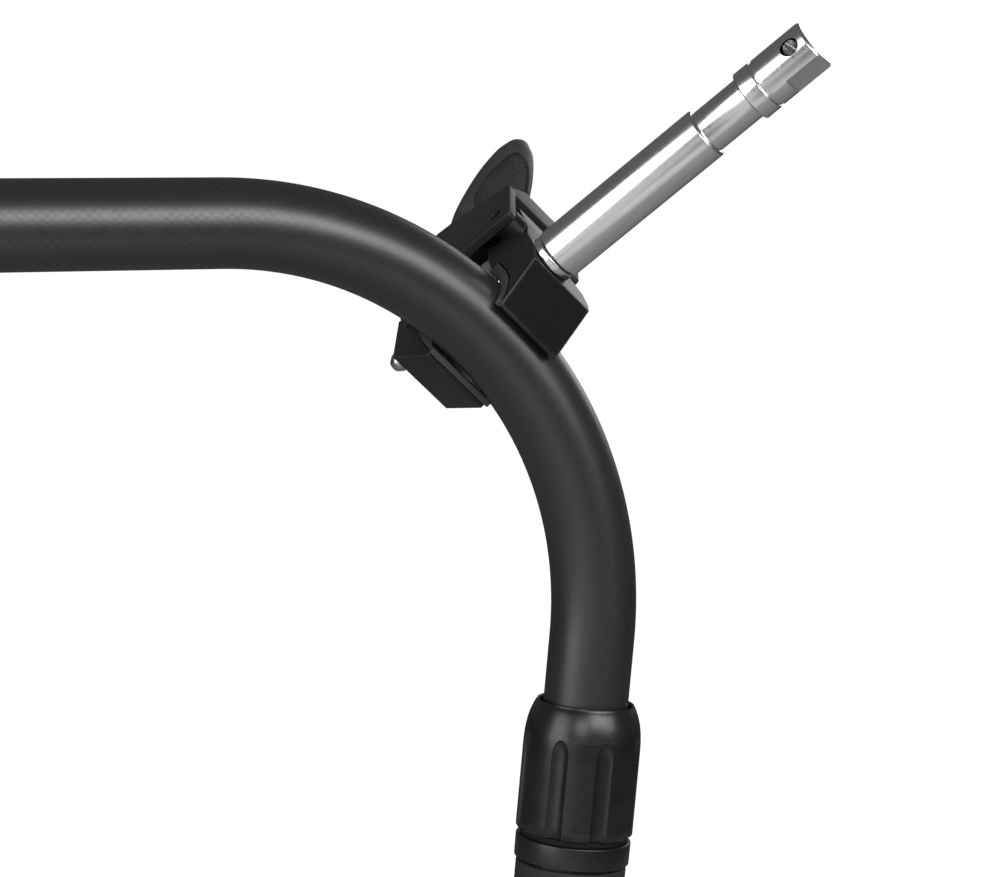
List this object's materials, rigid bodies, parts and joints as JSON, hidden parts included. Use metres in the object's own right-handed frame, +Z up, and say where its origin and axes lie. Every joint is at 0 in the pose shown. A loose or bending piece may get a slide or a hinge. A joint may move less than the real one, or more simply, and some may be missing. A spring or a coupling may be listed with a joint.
{
  "type": "boom pole",
  "caption": "Curved boom pole with a rubber grip, twist-locked telescoping arm, threaded tip and a quick-release clamp carrying a stand spigot.",
  "frame": {"origin": "centre of the butt cap's bottom face, at the lower end of the grip", "axes": "+Z up along the grip's axis; the bend lies in the XZ plane with the arm reaching towards -X; -Y is the side that the spigot leans to"},
  "size_m": [0.5473, 0.1688, 0.5277],
  "materials": {
    "carbon": "satin carbon-fibre twill under matt lacquer",
    "anodised": "satin black anodised aluminium",
    "grip_rubber": "matt foam-like rubber",
    "clamp_black": "satin black powder coat over cast aluminium",
    "pad_rubber": "smooth black rubber",
    "polished_aluminium": "fine turned and polished",
    "steel": "bright zinc plate",
    "bush_plastic": "dark acetal"
  },
  "bodies": {
    "grip": {"grip_tube": "carbon", "grip_sleeve": "grip_rubber", "butt_cap": "grip_rubber", "grip_lock_body": "anodised"},
    "grip_collar": {"grip_lock_collar": "anodised"},
    "arm_swivel": {"grip_lock_collet": "bush_plastic"},
    "arm": {"arm_tube": "carbon", "arm_tube_bush": "bush_plastic", "arm_lock_body": "anodised"},
    "arm_collar": {"arm_lock_collar": "anodised"},
    "tip_swivel": {"arm_lock_collet": "bush_plastic"},
    "tip": {"tip_tube": "carbon", "tip_tube_bush": "bush_plastic", "tip_head": "polished_aluminium", "tip_stud": "steel"},
    "tip_nut": {"tip_lock_nut": "anodised"},
    "clamp": {"clamp_frame": "clamp_black", "fixed_jaw": "clamp_black", "fixed_jaw_pad": "pad_rubber", "jaw_screw_1": "anodised", "jaw_screw_2": "anodised", "jaw_screw_3": "anodised", "jaw_screw_4": "anodised", "jaw_pivot_pin": "steel", "jaw_spring": "steel"},
    "moving_jaw": {"moving_jaw": "clamp_black", "moving_jaw_pad": "pad_rubber", "spigot": "polished_aluminium", "spigot_washer": "polished_aluminium"},
    "yoke": {"lever_yoke": "anodised", "lever_pin": "steel"},
    "lever": {"lever": "clamp_black"},
    "adjuster": {"adjusting_screw": "steel"}
  },
  "joints": [
    {"name": "grip_collar_turn", "type": "hinge", "parent": "grip", "child": "grip_collar", "pos_m": [0, 0, 0.3], "axis": [0, 0, 1], "range_deg": [0, 120]},
    {"name": "arm_swivel", "type": "hinge", "parent": "grip", "child": "arm_swivel", "pos_m": [0, 0, 0.3], "axis": [0, 0, 1], "range_deg": [-180, 180]},
    {"name": "arm_slide", "type": "slide", "parent": "arm_swivel", "child": "arm", "axis": [0, 0, 1], "range_m": [0, 0.17]},
    {"name": "arm_collar_turn", "type": "hinge", "parent": "arm", "child": "arm_collar", "pos_m": [-0.44598, 0, 0.42867], "axis": [-0.9962, 0, -0.0872], "range_deg": [0, 120]},
    {"name": "tip_swivel", "type": "hinge", "parent": "arm", "child": "tip_swivel", "pos_m": [-0.45594, 0, 0.42779], "axis": [-0.9962, 0, -0.0872], "range_deg": [-180, 180]},
    {"name": "tip_slide", "type": "slide", "parent": "tip_swivel", "child": "tip", "axis": [-0.9962, 0, -0.0872], "range_m": [0, 0.2]},
    {"name": "tip_nut_turn", "type": "hinge", "parent": "tip", "child": "tip_nut", "pos_m": [-0.50177, 0, 0.42378], "axis": [-0.9962, 0, -0.0872], "range_deg": [0, 360]},
    {"name": "clamp_swivel", "type": "hinge", "parent": "arm", "child": "clamp", "pos_m": [-0.04024, 0, 0.4283], "axis": [0.788, 0, -0.6157], "range_deg": [-30, 30]},
    {"name": "jaw_open", "type": "hinge", "parent": "clamp", "child": "moving_jaw", "pos_m": [-0.0192, 0.03039, 0.45523], "axis": [-0.788, 0, 0.6157], "range_deg": [0, 3.6], "deforming": ["jaw_spring"]},
    {"name": "yoke_slide", "type": "slide", "parent": "clamp", "child": "yoke", "axis": [-0.5332, 0.5, -0.6824], "range_m": [0, 0.002]},
    {"name": "lever_swing", "type": "hinge", "parent": "yoke", "child": "lever", "pos_m": [-0.03326, 0.03964, 0.43724], "axis": [-0.788, 0, 0.6157], "range_deg": [0, 50]},
    {"name": "adjuster_turn", "type": "hinge", "parent": "clamp", "child": "adjuster", "pos_m": [-0.04659, 0.05214, 0.42018], "axis": [-0.5332, 0.5, -0.6824], "range_deg": [0, 720]}
  ],
  "couplings": [
    {"joint": "jaw_open", "follows": "lever_swing", "ratio": 0.072},
    {"joint": "adjuster_turn", "follows": "yoke_slide", "rad_per_m": 6283.2}
  ]
}
